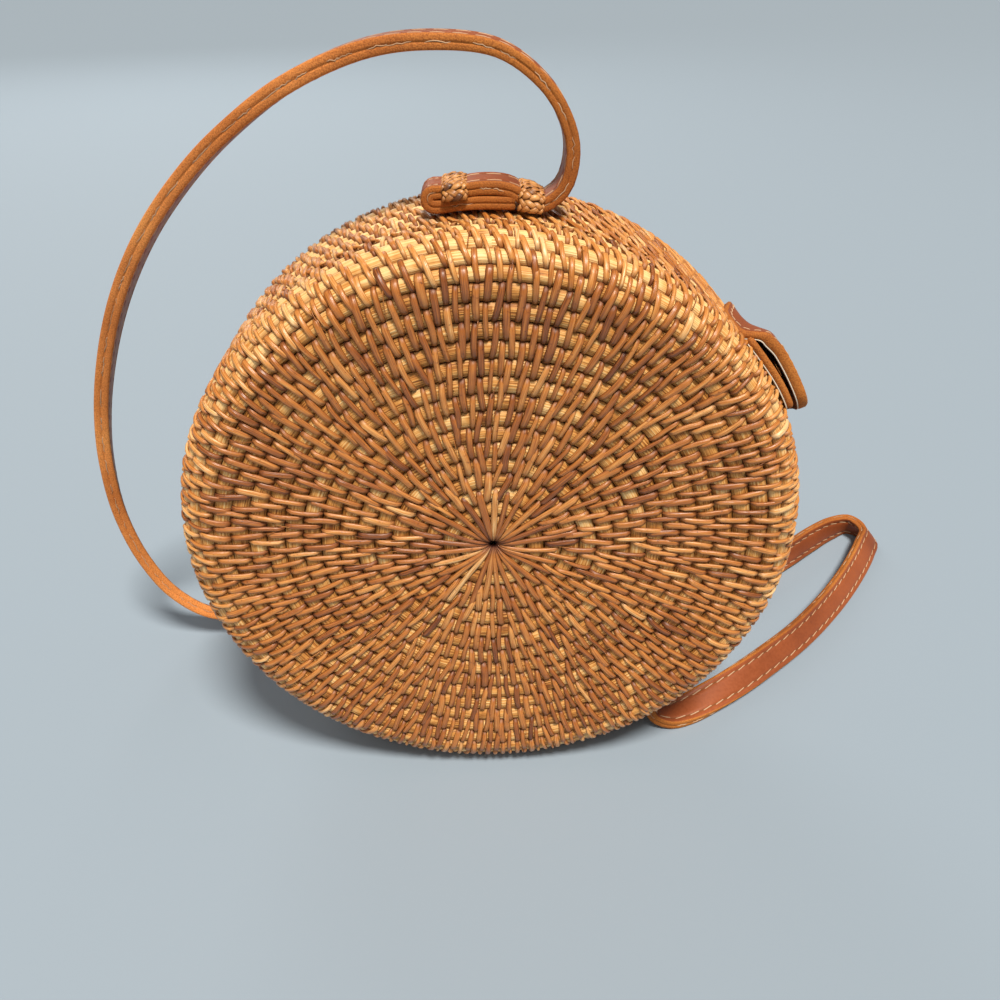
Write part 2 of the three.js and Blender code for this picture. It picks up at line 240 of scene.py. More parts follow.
def coil_material():
    """Bundles of fine straw: pale, with many thin lines along the coil."""
    look = Look("straw_coil")
    lines = look.noise((0.05, 34.0, 1.0), 2.0)
    patches = look.noise((0.16, 2.0, 1.0), 2.0)
    shift = look.maths("ADD", look.maths("MULTIPLY_ADD", patches, 0.8, -0.4), look.attribute("tone"))
    colour = look.ramp(look.maths("ADD", lines, shift), COIL_STOPS)
    # Painted shade: the shade attribute darkens the sides of each coil, in the grooves between coils
    sides = look.ramp(look.attribute("shade"), [(0.0, (0.1, 0.02, 0.003)), (1.0, WHITE)])
    colour = look.mix("MULTIPLY", 1.0, colour, sides)
    return look.finish(colour, look.maths("MULTIPLY_ADD", lines, -0.4, 0.65), 0.3, lines, 0.8, 0.4)


def leather_material(name, stops, roughness, scale, strength, speckle=0.0, light=None):
    """Leather with fine pores, and plain thread, lining and brass too. scale is that of the pores and
    strength their depth. Where light is given, the tone attribute turns its colours into those lit colours,
    as painted light."""
    look = Look(name)
    broad = look.noise((35.0, 35.0, 35.0), 4.0, "Object")
    colour = look.ramp(broad, stops)
    if light:
        colour = look.mix("MIX", look.attribute("tone"), colour, look.ramp(broad, light))
    pores = look.noise((scale, scale, scale), 4.0, "Object")
    specks = look.ramp(pores, [(0.34, (0.5, 0.38, 0.28)), (0.6, WHITE)])
    colour = look.mix("MULTIPLY", speckle, colour, specks)
    dullness = look.maths("MULTIPLY_ADD", pores, 0.4, roughness - 0.2)
    return look.finish(colour, dullness, 0.3, pores, strength, 0.3)


COIL_STOPS = [(0.28, (0.2, 0.06, 0.01)), (0.41, (0.48, 0.185, 0.036)), (0.56, (0.68, 0.325, 0.085)),
              (0.8, (0.89, 0.59, 0.26))]
CANE_STOPS = [(0.0, (0.12, 0.028, 0.005)), (0.3, (0.33, 0.094, 0.014)), (0.55, (0.52, 0.18, 0.032)),
              (0.8, (0.72, 0.33, 0.09)), (1.0, (0.87, 0.57, 0.27))]
PLAIT_STOPS = [(0.0, (0.08, 0.022, 0.006)), (0.4, (0.48, 0.19, 0.045)), (1.0, (0.76, 0.38, 0.12))]
LEATHER_STOPS = [(0.3, (0.22, 0.053, 0.016)), (0.6, (0.31, 0.078, 0.023)), (0.8, (0.37, 0.102, 0.031))]
EDGE_STOPS = [(0.3, (0.34, 0.1, 0.016)), (0.6, (0.49, 0.165, 0.028)), (0.8, (0.58, 0.22, 0.044))]
# A lit copy of EDGE_STOPS: painted light on the cut edges along the arch
LIT_EDGE_STOPS = [(0.3, (0.6, 0.19, 0.04)), (0.6, (0.82, 0.3, 0.075)), (0.8, (0.9, 0.4, 0.11))]
# Dark leather for painted shade, in the strap's sunk seams and under the closure's lining
PAINTED_SHADE_STOPS = [(0.3, (0.13, 0.045, 0.015)), (0.7, (0.22, 0.08, 0.025))]
LINING_STOPS = [(0.3, (0.55, 0.47, 0.37)), (0.7, (0.72, 0.65, 0.54))]
THREAD_STOPS = [(0.3, (0.46, 0.27, 0.15)), (0.7, (0.60, 0.41, 0.26))]
BRASS_STOPS = [(0.3, (0.45, 0.29, 0.1)), (0.7, (0.62, 0.43, 0.18))]

cane = strand_material("split_cane", CANE_STOPS, (0.13, 0.026, 0.004), 0.33)
plait_cane = strand_material("plaited_cane", PLAIT_STOPS, (0.16, 0.05, 0.015), 0.34)
straw = coil_material()
grain_leather = leather_material("grain_leather", LEATHER_STOPS, 0.5, 900.0, 0.16, 0.25)
edge_leather = leather_material("cut_leather", EDGE_STOPS, 0.8, 2600.0, 0.7, 0.8, LIT_EDGE_STOPS)
# Painted shade in the sunk seams and under the lining
painted_shade_leather = leather_material("leather_in_painted_shade", PAINTED_SHADE_STOPS, 0.85, 1500.0, 0.4)
lining = leather_material("pale_lining", LINING_STOPS, 0.8, 1200.0, 0.4)
thread = leather_material("thread", THREAD_STOPS, 0.7, 1800.0, 0.3)
snap_brass = leather_material("snap_brass", BRASS_STOPS, 0.3, 800.0, 0.1)
snap_brass.node_tree.nodes["Principled BSDF"].inputs["Metallic"].default_value = 1.0


# Weave

class Half:
    """One half of the bag: side is -1 for the front, rows are its coils from hub to seam."""

    def __init__(self, side, rows, depth):
        self.side = side
        self.rows = rows
        self.length = FACE + ARC + depth - CORNER
        self.pitch = self.length / rows
        self.row_at = (np.arange(rows) + 0.5) * self.pitch

    def radius(self, s):
        turn = np.clip((s - FACE) / CORNER, 0, math.pi / 2)
        return np.minimum(s, FACE) + CORNER * np.sin(turn)

    def points(self, s, angle, height):
        """Places on the half: s is the distance from the hub along the surface."""
        s, angle, height = np.broadcast_arrays(s, angle, height)
        turn = np.clip((s - FACE) / CORNER, 0, math.pi / 2)
        sink = np.where(s < FACE, DISH * (1 - (s / FACE) ** 2),
                        CORNER * (1 - np.cos(turn)) + np.maximum(s - FACE - ARC, 0))
        radius = self.radius(s) + np.sin(turn) * height
        sink = sink - np.cos(turn) * height
        return np.stack([radius * np.sin(angle), self.side * (DEPTH / 2 - sink),
                         RADIUS + radius * np.cos(angle)], -1)


front = Half(-1, 21, SEAM_Y - SEAM_GAP / 2 + DEPTH / 2)
back = Half(1, 26, DEPTH / 2 - SEAM_Y - SEAM_GAP / 2)

COIL = {"height": -3.0, "thick": 2.0, "share": 0.53, "step": 2.8}
# The hub coil's darker tone is painted shade under the spokes
HUB_COIL = {"at": 3.9, "half_width": 1.7, "sink": 1.5, "darker": 0.3}
EDGE_COIL = {"inset": 2.65, "half_width": 2.45}
STRAND = {"width": 1.84, "thick": 1.06, "top": -0.56, "bend": 2.6, "inside": 0.7}
# Tones go from 0, which is dark, to 1, which is pale. The rim values are painted light on the rim, and the
# stitches' top value is painted shade towards the top and bottom of the bag
COIL_TONE = {"face": 0.02, "rim": 0.19}
STITCH_TONE = {"mean": 0.5, "spread": 0.12, "rim": 0.25, "top": 0.15}
ODD_TONE = {"share": 0.025, "range": (0.1, 0.28)}
SPOKES, SPOKE_ROWS, FACE_ROWS = 27, 3, 13
STITCH_STEP = 5.7
TOP_LEAN = 1.5
LOOSE_FIBRES = 70


def smoothstep(x, low, high):
    t = np.clip((x - low) / (high - low), 0, 1)
    return t * t * (3 - 2 * t)


def wobble(row, angle):
    """The rows wander a little, together with their neighbours."""
    return (0.26 * np.sin(3 * angle + 0.5 * row) + 0.2 * np.sin(5 * angle - 0.35 * row + 1.7)
            + 0.1 * np.sin(11 * angle + 0.8 * row))


def lean_at(row, angle):
    """How far the stitches lean sideways from the middle to an end, which changes slowly over the bag."""
    return 0.2 + 0.3 * np.sin(angle + 0.6) + 0.25 * np.sin(3 * angle + 0.25 * row)


def paler(half, row):
    """How much paler the cane is at a row, from 0 on the face to 1 on the rim, where the paleness is painted
    light.
    """
    return smoothstep((np.asarray(row) * half.pitch - FACE) / ARC, 0.0, 0.5)


def coils(half):
    """The coils of a half, a closed tube for each row."""
    parts, tone, shade = [], [], []
    q = np.arange(12) * math.pi / 6
    for row in range(half.rows):
        hub, edge = row == 0, row == half.rows - 1
        s_row, half_width = half.row_at[row], half.pitch * COIL["share"]
        if hub:
            s_row, half_width = HUB_COIL["at"], HUB_COIL["half_width"]
        if edge:
            s_row, half_width = half.length - EDGE_COIL["inset"], EDGE_COIL["half_width"]
        steps = max(28, int(math.tau * half.radius(s_row) / COIL["step"]))
        angle = np.arange(steps) * math.tau / steps
        lumps = np.interp(np.arange(steps) * 0.43 % 64, np.arange(65), random.normal(0, 1, 65))
        s = s_row + (0 if edge else wobble(row, angle)[:, None]) + half_width * np.cos(q)
        height = COIL["height"] + COIL["thick"] * (1 + 0.04 * lumps[:, None]) * np.sin(q)
        # Painted light: coils are paler on the rim
        pale = COIL_TONE["face"] + COIL_TONE["rim"] * paler(half, row + 0.5)
        # The hub coil lies lower, under the spokes, and is darker: painted shade
        if hub:
            height, pale = height - HUB_COIL["sink"], pale - HUB_COIL["darker"]
        points = half.points(np.clip(s, 0.5, half.length), angle[:, None], height)
        along = angle * half.radius(s_row) + 37.0 * row
        parts.append(tubes(points[None], along[None], closed=True))
        tone.append(np.full(points.size // 3, pale))
        # Painted shade on each coil's sides, in the grooves between coils, with less of it on the rim
        sides = smoothstep(np.abs(np.sin(q)), 0.28, 0.62)
        sides = sides + 0.35 * (1 - sides) * paler(half, row)
        shade.append(np.broadcast_to(sides, points.shape[:2]).ravel())
    return joined(parts), {"tone": np.concatenate(tone), "shade": np.concatenate(shade)}


def stitch_rows(half):
    """Angles of the middles of each row's stitches. They lie between the stitches of the row before, and a
    second one goes into the widest gaps where the row needs more."""
    rows = {SPOKE_ROWS: np.sort((np.arange(SPOKES) + random.normal(0, 0.1, SPOKES)) * math.tau / SPOKES)}
    for row in range(SPOKE_ROWS + 1, half.rows + 1):
        before = rows[row - 1]
        gap = np.diff(np.concatenate([before, before[:1] + math.tau]))
        radius = float(half.radius(min(row + 0.5, half.rows) * half.pitch))
        wanted = max(len(before), round(math.tau * radius / STITCH_STEP))
        twice = np.zeros(len(before), bool)
        widest = np.argsort(-gap + random.normal(0, 0.004, len(gap)))
        twice[widest[: min(len(before), wanted - len(before))]] = True
        single = before[~twice] + gap[~twice] / 2
        double = np.concatenate([before[twice] + gap[twice] * 0.3, before[twice] + gap[twice] * 0.7])
        angles = np.sort(np.concatenate([single, double]))
        for _ in range(2):
            ring = np.concatenate([angles[-1:] - math.tau, angles, angles[:1] + math.tau])
            angles = angles + 0.22 * np.diff(ring, 2)
        rows[row] = angles + (lean_at(row, angles) + random.normal(0, 0.26, len(angles))) / radius
    return rows


SECTION = np.array([(-0.5, -0.2), (-0.41, 0.2), (-0.18, 0.46), (0.18, 0.46), (0.41, 0.2), (0.5, -0.2),
                    (0.0, -0.5)])
SMALL_SECTION = np.array([(-0.5, -0.3), (-0.3, 0.4), (0.3, 0.4), (0.5, -0.3)])


def strands(half, s, angle, height, width, thick, section):
    """Strands from arrays of (strand, step): place, angle, height, width and thickness at each step."""
    x, z = section[:, 0], section[:, 1]
    radius = np.maximum(half.radius(s), 1.5)
    run = np.stack([np.gradient(s, axis=1), np.gradient(height, axis=1)], -1)
    run /= np.linalg.norm(run, axis=-1, keepdims=True) + 1e-9  # no division by zero
    up = np.where(run[..., :1] > 0, 1, -1) * np.stack([-run[..., 1], run[..., 0]], -1)
    lift = thick[..., None] * z
    place = np.clip(s[..., None] + lift * up[..., :1], 0.3, half.length - 0.05)
    points = half.points(place, angle[..., None] + (width / radius)[..., None] * x,
                         height[..., None] + lift * up[..., 1:])
    along = np.concatenate([np.zeros((len(s), 1)), np.cumsum(np.abs(np.diff(s, axis=1)), 1)], 1)
    return tubes(points, along + random.uniform(0, 500, (len(s), 1)))


# Painted shade across a strand's section, darkest on its sides and underside, for sections of 7 and of 4
# points
EDGE_SHADE = {7: (0.3, 0.9, 1, 1, 0.9, 0.3, 0.1), 4: (0.5, 1, 1, 0.5)}


def strand_attributes(tone, shade, sides, soft=0.0):
    """Values for the materials, from a tone for each strand and a painted shade for each step, with
    EDGE_SHADE painted on the sides. soft, from 0 to 1, takes that painted shade off the sides of strands."""
    keep = np.broadcast_to(1 - 0.6 * np.asarray(soft), tone.shape)[:, None, None]
    shades = shade[:, None] * (1 - keep * (1 - np.array(EDGE_SHADE[sides])))
    return {"tone": np.repeat(tone, len(shade) * sides), "shade": shades.ravel()}


# A stitch goes over two coils. It comes up round the outer coil, crosses to the inner one and goes down.
# Each step has a coil (0 outer, 1 inner), the turn round that coil from its top, a width and a painted shade,
# darkest at the ends, where the stitch goes down between the coils.
STITCH_STEPS = [
    (0, 80, 0.92, 0.1), (0, 52, 1.04, 0.45), (0, 20, 1.08, 0.95), (0.25, 0, 1.07, 1.0), (0.5, 0, 1.05, 0.98),
    (0.75, 0, 1.05, 1.0), (1, -20, 1.04, 0.95), (1, -52, 0.98, 0.55), (1, -84, 0.8, 0.05),
]
INNER_STEPS = [0, 2, 6, 8]


def stitches(half, rows, chosen, inside=False):
    """The stitches of the chosen rows, on the outside or the inside of a half."""
    row = np.concatenate([np.full(len(rows[k]), k) for k in chosen])
    angle = np.concatenate([rows[k] for k in chosen])
    count, pale = len(row), paler(half, row)
    steps = np.array(STITCH_STEPS)[INNER_STEPS if inside else slice(None)]
    coil, turn, wide, shade = steps.T
    turn = np.radians(turn)
    reach = 0.51 + random.normal(0, 0.012, count)[:, None]
    middle_row = row[:, None] + 0.5 - coil
    s = (middle_row + reach * np.sin(turn)) * half.pitch
    spring = random.normal(0, 0.05, count)[:, None]
    height = STRAND["top"] + spring - STRAND["bend"] * (1 - np.cos(turn)) - 0.1 * np.sin(math.pi * coil)
    lean = lean_at(row, angle) + random.normal(0, 0.42, count)
    lean = lean + half.side * TOP_LEAN * pale * np.clip(np.cos(angle), 0, 1) ** 2
    bow = random.normal(0, 0.24, count)
    radius = half.radius(np.clip(s, 1, half.length))
    across = (row[:, None] * half.pitch - s) / half.pitch
    angle = angle[:, None] - (lean[:, None] * across + bow[:, None] * (1 - across ** 2)) / radius
    s = s + wobble(middle_row - 0.5, angle)
    s = np.minimum(s, half.length - 0.1)
    width = STRAND["width"] * (1 + random.normal(0, 0.13, count) - 0.17 * pale)[:, None] * wide
    thickness = np.broadcast_to(STRAND["thick"] * (1 + random.normal(0, 0.05, count))[:, None], s.shape)
    height = np.minimum(height, -0.5 * thickness)
    if inside:
        height = 2 * COIL["height"] + STRAND["inside"] - height
    section = SMALL_SECTION * (1, -1) if inside else SECTION
    # Painted light: stitches are paler on the rim
    tone = random.normal(STITCH_TONE["mean"], STITCH_TONE["spread"], count) + STITCH_TONE["rim"] * pale
    # Painted shade: darker towards the top and bottom of the bag, more so in the outer rows
    tone = np.clip(tone - STITCH_TONE["top"] * np.abs(np.cos(angle[:, 0])) * row / half.rows, 0.08, 0.98)
    odd = random.random(count) < ODD_TONE["share"]
    tone[odd] = random.uniform(*ODD_TONE["range"], odd.sum())
    arrays = strands(half, s, angle, height, width, thickness, section)
    # On the rim, less painted shade on the strands' sides
    return arrays, strand_attributes(tone, shade, len(section), pale)


def spokes(half, angles):
    """The long first stitches, from the hub out to the first full row."""
    count = len(angles)
    at = np.array([0.0, 0.04, 0.10, 0.18, 0.28, 0.42, 0.56, 0.70, 0.82, 0.91, 0.965, 1.0])
    start = 1.3
    end = (SPOKE_ROWS + 1) * half.pitch + random.normal(0, 0.4, count)
    end = end + np.where(random.random(count) < 0.15, half.pitch, 0)
    s = start + (end[:, None] - start) * at
    up = np.array([-3.4, -2.3, -1.45, -1.05, -0.85, -0.78, -0.75, -0.74, -0.74, -0.85, -1.5, -2.9])
    height = np.minimum(up + random.normal(0, 0.05, count)[:, None], -0.7)
    height = height - 0.4 * (np.arange(count) % 2)[:, None] * np.clip(1 - s / 12, 0, 1)
    width = np.minimum(1.8 * (1 + random.normal(0, 0.1, count))[:, None], math.tau * s / SPOKES * 1.25)
    width = width * np.interp(at, [0, 0.9, 1], [1, 1.08, 0.8])
    bow = random.normal(0, 0.45, count)
    turn = angles[:, None] + bow[:, None] * np.sin(math.pi * at) / np.maximum(s, 6)
    thickness = np.full_like(s, STRAND["thick"] * 0.95)
    # Painted shade at both ends of a spoke, darkest at the hub, where the spokes go down into the weave
    shade = np.interp(at, [0, 0.05, 0.15, 0.93, 1], [0.0, 0.35, 0.9, 1.0, 0.2])
    tone = np.clip(random.normal(0.46, 0.17, count), 0.05, 0.95)
    arrays = strands(half, s, turn, height, width, thickness, SECTION)
    return arrays, strand_attributes(tone, shade, len(SECTION))


def both(first, second):
    """Joins two sets of arrays and attributes."""
    arrays = joined([first[0], second[0]])
    return arrays, {key: np.concatenate([first[1][key], second[1][key]]) for key in first[1]}


def loose_fibres(half, count):
    """Fine fibres that have come up from the strands, with their ends still in the weave."""
    steps = np.linspace(0, 1, 8)
    start = random.uniform(25, half.length - 14, count)
    length = random.uniform(5, 10, count) * random.choice([-1, 1], count)
    s = start[:, None] + length[:, None] * steps
    height = -1.1 + 0.85 * np.sin(math.pi * steps ** 0.8) + 0 * s
    sideways = random.normal(0, 1.6, count)[:, None] * steps
    sideways = sideways + random.normal(0, 1.2, count)[:, None] * steps ** 2
    angle = random.uniform(0, math.tau, count)[:, None] + sideways / half.radius(s)
    width = random.uniform(0.22, 0.42, count)[:, None] * (1 - 0.5 * steps)
    arrays = strands(half, s, angle, height, width, 0.8 * width, SMALL_SECTION)
    tone = random.uniform(0.1, 0.6, count)
    return arrays, strand_attributes(tone, np.ones(len(steps)), len(SMALL_SECTION))


def weave(half, name):
    """The pieces of one half's weave, on the body with the same name."""
    arrays, attributes = coils(half)
    as_piece(f"{name}_coils", arrays, name, [straw], (f"{name}_shell",), attributes)
    rows = stitch_rows(half)
    outer = list(range(SPOKE_ROWS + 1, half.rows + 1))
    face = stitches(half, rows, outer[:FACE_ROWS])
    pieces = {
        "stitches_face": both(spokes(half, rows[SPOKE_ROWS]), face),
        "stitches_rim": stitches(half, rows, outer[FACE_ROWS:]),
        "loose_fibres": loose_fibres(half, LOOSE_FIBRES),
        "stitches_inside": stitches(half, rows, outer, inside=True),
    }
    for label, (arrays, attributes) in pieces.items():
        as_piece(f"{name}_{label}", arrays, name, [cane], attributes=attributes)


weave(front, "front")
weave(back, "back")


# Strap

SOLID_WIDTH, SOLID_THICK = 12.5, 3.9
STRAP = {"width": 12.4, "thick": 3.8, "y": -3.0, "fold": 1.98, "off_ground": 0.1}
# Where the strap gets its full thickness, and painted light on its cut edges: ranges of -x and of the
# distance from the rim
FULL = {"extra": 0.3, "left": (-15, 60), "clear": (12, 30)}
PINCH = {"reach": 3.2, "share": 0.12, "near": 12}
SEWING = {"inset": 2.45, "sunk": 0.14, "pitch": 5.9, "length": 4.9}
THREAD_RADIUS = 0.22
EDGE_FIBRE = {"most": 160, "apart": (3.0, 13.0), "length": (2.5, 8.0), "radius": (0.1, 0.19)}
ARCH_TILT = np.array([-0.34, 0.77, -0.54])
# x, y, z and turn, where turn goes from the width along Y to the width along ARCH_TILT
ARCH = [
    (20.5, -3, 205.5, 0), (22.5, -3, 210.4, 0), (22.8, -3, 217.9, 0), (20.1, -3, 225.6, 0),
    (14.7, -2, 233, 0), (2.8, -1, 240.9, 0), (-15.8, 1, 243, 0), (-33.4, 3, 240.9, 0.05),
    (-55.4, 7, 232.2, 0.12), (-74.4, 12, 219.8, 0.2), (-90.4, 17.1, 206.3, 0.32), (-108.3, 23.1, 186.9, 0.45),
    (-123.1, 29.1, 165.4, 0.6), (-134.9, 34.2, 142, 0.75), (-144, 38.2, 116.4, 0.85),
    (-148.8, 40.7, 92.8, 0.92), (-150.1, 43.2, 66.5, 1), (-146.1, 45.2, 42.3, 1), (-137.6, 46.7, 23.2, 1),
    (-124.8, 48.4, 11, 1), (-106.5, 51, 7.4, 1),
]
# x, y and lean in degrees from standing on its edge
GROUND = [
    (-82, 53.5, 20), (-52, 54, 4), (-10, 52.5, 0), (40, 51.5, 0), (85, 56, -4), (120, 69, -10),
    (148, 90, -18), (164, 103, -18), (177, 112, -6), (187.6, 115.2, 26), (194.0, 106.2, 43),
    (188.4, 95.0, 44), (172.5, 72.0, 40), (154.7, 50.6, 38), (135.4, 31.0, 37), (113, 12.6, 42),
    (100.7, 3.7, 50), (86.8, -4.7, 66), (76.5, -9.3, 84),
]
TURN = {"radius": 9.0, "angle": 141.7, "clear": 1.5, "y_low": -11.0, "y_high": -8.5}
RISE = [(137, 1.5, -6.5), (131, 1.1, -4.5)]
# Distance along the rim and height over it, for a folded end of the strap
LOW = CLEAR + SOLID_THICK / 2
HIGH = LOW + 2 * STRAP["fold"]
FOLD_AT, KNOT_AT = -15.0, -9.4
END_ANGLES = (0, 116)
STRAP_END = [(6.9, LOW), (-4, LOW), (KNOT_AT, LOW - 0.2), (FOLD_AT, LOW)]
STRAP_END += [(FOLD_AT + STRAP["fold"] * math.cos(turn), LOW + STRAP["fold"] * (1 + math.sin(turn)))
              for turn in np.radians((225, 180, 135))]
STRAP_END += [(FOLD_AT, HIGH), (KNOT_AT, HIGH - 0.7), (-5, HIGH - 0.2), (-1, HIGH), (3.4, HIGH - 0.2),
              (6.2, HIGH - 0.9), (8.6, LOW + 1.7), (11, LOW + 0.7), (13, LOW + 0.3), (15, LOW + 0.2)]


def on_rim(degrees, y, height):
    turn = np.radians(degrees)
    radius = RIM + np.asarray(height, float)
    return np.stack(np.broadcast_arrays(radius * np.sin(turn), y, RADIUS + radius * np.cos(turn)), -1)


def strap_rows():
    """The strap's centre line and width directions, in the same order as the strap runs."""
    places, widths = [], []
    for along, height in STRAP_END:
        places.append(on_rim(math.degrees(along / RIM), STRAP["y"], height))
        widths.append(Y_AXIS)
    for x, y, z, turn in ARCH:
        places.append((x, y, z))
        widths.append((1 - turn) * Y_AXIS + turn * ARCH_TILT)
    for i, (x, y, lean) in enumerate(GROUND):
        before, after = GROUND[max(0, i - 1)], GROUND[min(len(GROUND) - 1, i + 1)]
        out = unit(np.array([before[1] - after[1], after[0] - before[0], 0]))
        tip = math.radians(lean)
        z = (SOLID_WIDTH * abs(math.cos(tip)) + SOLID_THICK * abs(math.sin(tip))) / 2 + STRAP["off_ground"]
        places.append((x, y, z))
        widths.append(out * math.sin(tip) - np.array([0, 0, math.cos(tip)]))
    middle = TURN["clear"] + SOLID_THICK / 2
    hub = on_rim(TURN["angle"], 0, middle + TURN["radius"])
    turns = np.radians((270, 225, 180, 270 - TURN["angle"]))
    for y, turn in zip(np.linspace(TURN["y_low"], TURN["y_high"], len(turns)), turns):
        places.append(hub + (TURN["radius"] * math.cos(turn), y, TURN["radius"] * math.sin(turn)))
    for angle, clear, y in RISE:
        places.append(on_rim(angle, y, clear + SOLID_THICK / 2))
    for along, height in reversed(STRAP_END):
        places.append(on_rim(END_ANGLES[1] + math.degrees(along / RIM), STRAP["y"], height))
    widths += [-Y_AXIS] * (len(places) - len(widths))
    return np.array(places), np.array(widths)


def curve_through(rows, extra, step):
    """A smooth curve through the rows, sampled about every step, with extra carried along."""
    power = np.linalg.norm(np.diff(rows, axis=0), axis=1) ** 0.5
    rows_p = np.vstack([2 * rows[0] - rows[1], rows, 2 * rows[-1] - rows[-2]])
    gaps = np.concatenate([power[:1], power, power[-1:]])
    samples, carried = [], []
    for i in range(len(rows) - 1):
        p0, p1, p2, p3 = rows_p[i:i + 4]
        d0, d1, d2 = gaps[i:i + 3]
        t1 = ((p1 - p0) / d0 - (p2 - p0) / (d0 + d1) + (p2 - p1) / d1) * d1
        t2 = ((p2 - p1) / d1 - (p3 - p1) / (d1 + d2) + (p3 - p2) / d2) * d1
        count = max(2, round(np.linalg.norm(p2 - p1) / step))
        t = np.arange(count)[:, None] / count
        samples.append((2 * t**3 - 3 * t**2 + 1) * p1 + (t**3 - 2 * t**2 + t) * t1
                       + (3 * t**2 - 2 * t**3) * p2 + (t**3 - t**2) * t2)
        carried.append((1 - t) * extra[i] + t * extra[i + 1])
    samples.append(rows[-1:])
    carried.append(extra[-1:])
    return np.concatenate(samples), np.concatenate(carried)


strap_line, strap_width = curve_through(*strap_rows(), 2.4)
for _ in range(3):
    strap_width[1:-1] = (strap_width[:-2] + 2 * strap_width[1:-1] + strap_width[2:]) / 4
strap_along = unit(np.gradient(strap_line, axis=0))
strap_width = unit(strap_width - strap_along * np.sum(strap_width * strap_along, 1, keepdims=True))
strap_normal = np.cross(strap_along, strap_width)
strap_at = lengths(strap_line)


def strap_section():
    """The outline of two plies: faces with two sunk seams, rounded corners and cut edges with a groove
    between the plies. Each point has a material: 0 face, 1 cut edge, 2 seam, whose dark colour is painted
    shade in the sunk seam."""
    w, h = STRAP["width"] / 2, STRAP["thick"] / 2
    seam = w - SEWING["inset"]
    face = [(-w + 0.55, h, 1), (-w + 0.9, h + 0.02, 0), (-seam - 0.22, h - 0.04, 2), (-seam, h - 0.25, 2),
            (-seam + 0.22, h - 0.04, 0), (-seam + 1.5, h + 0.05, 0), (0, h + 0.06, 0),
            (seam - 1.5, h + 0.05, 0), (seam - 0.22, h - 0.04, 2), (seam, h - 0.25, 2),
            (seam + 0.22, h - 0.04, 0), (w - 0.9, h + 0.02, 0)]
    edge = [(w - 0.55, h), (w - 0.18, h - 0.2), (w - 0.02, h - 0.6), (w, 0.6), (w - 0.05, 0.2),
            (w - 0.35, 0.0), (w - 0.05, -0.2), (w, -0.6), (w - 0.02, -h + 0.6), (w - 0.18, -h + 0.2)]
    half = face + [(x, z, 1) for x, z in edge]
    full = half + [(-x, -z, m) for x, z, m in half]
    return np.array([point[:2] for point in full]), np.array([point[2] for point in full])


def strap_fullness(line):
    """How full the strap is, from 0 at its thinned ends to 1 on the left of the arch, which also sets the
    painted light on its cut edges, and its thickness as a share of the usual one, which is less where the
    fold knots press on it."""
    x, z = line[:, 0], line[:, 2] - RADIUS
    clear = np.hypot(x, z) - RIM
    fullness = smoothstep(-x, *FULL["left"]) * smoothstep(clear, *FULL["clear"])
    pressed = np.zeros(len(line))
    for end_angle in END_ANGLES:
        along = (np.arctan2(x, z) - math.radians(end_angle)) * RIM
        pressed += (clear < PINCH["near"]) * np.exp(-((along - KNOT_AT) / PINCH["reach"]) ** 2)
    return fullness, 1 - PINCH["share"] * pressed + FULL["extra"] * fullness


full, strap_thick = strap_fullness(strap_line)
outwards = unit(strap_line - (0, 0, RADIUS))
facing = np.sum(outwards * strap_normal, 1)
strap_line = strap_line - strap_normal * (facing * full * FULL["extra"] * STRAP["thick"] / 2)[:, None]
section, section_material = strap_section()
strap_points = (strap_line[:, None] + strap_width[:, None] * section[:, :1]
                + (strap_normal * strap_thick[:, None])[:, None] * section[:, 1:])
strap_ends = [1, 1]
# The tone attribute paints light on the cut edges where the strap is full, along the arch
as_piece("leather_strap", tubes(strap_points[None], strap_at[None]), "back",
         [grain_leather, edge_leather, painted_shade_leather], ("strap",), {"tone": np.repeat(full, len(section))},
         np.concatenate([np.tile(section_material, len(strap_line) - 1), strap_ends]))


def strip_places(place, at, line, width, normal):
    """Centre, width direction and facing at places along a strip."""
    def take(values):
        return np.stack([np.interp(place, at, values[:, k]) for k in range(3)], -1)

    return take(line), unit(take(width)), unit(take(normal))


def sewing(line, width, normal, at, offset, lift, spec):
    """A row of sewn stitches at an offset across a strip, standing out of its face."""
    starts = np.arange(2.0, at[-1] - 2.0 - spec["length"], spec["pitch"])
    place = starts[:, None] + np.array([0.0, 0.12, 0.5, 0.88, 1.0]) * spec["length"]
    centre, across, up = strip_places(place, at, line, width, normal)
    rise = np.interp(place, at, np.broadcast_to(lift, at.shape))
    rise = rise + THREAD_RADIUS * np.array([-1.3, 0.1, 0.45, 0.1, -1.3])
    slant = np.array([-0.32, -0.25, 0.0, 0.25, 0.32])
    centre = centre + across * (offset + slant)[..., None] + up * rise[..., None]
    return round_tubes(centre, across, up, 6, THREAD_RADIUS, 0.8)


seam_at = STRAP["width"] / 2 - SEWING["inset"]
seam_lift = STRAP["thick"] / 2 * strap_thick - SEWING["sunk"]
seams = [sewing(strap_line, strap_width, strap_normal * face, strap_at, offset, seam_lift, SEWING)
         for face in (1, -1) for offset in (-seam_at, seam_at)]
as_piece("strap_sewing", joined(seams)[:3], "back", [thread])
fibre_random = np.random.default_rng(29)


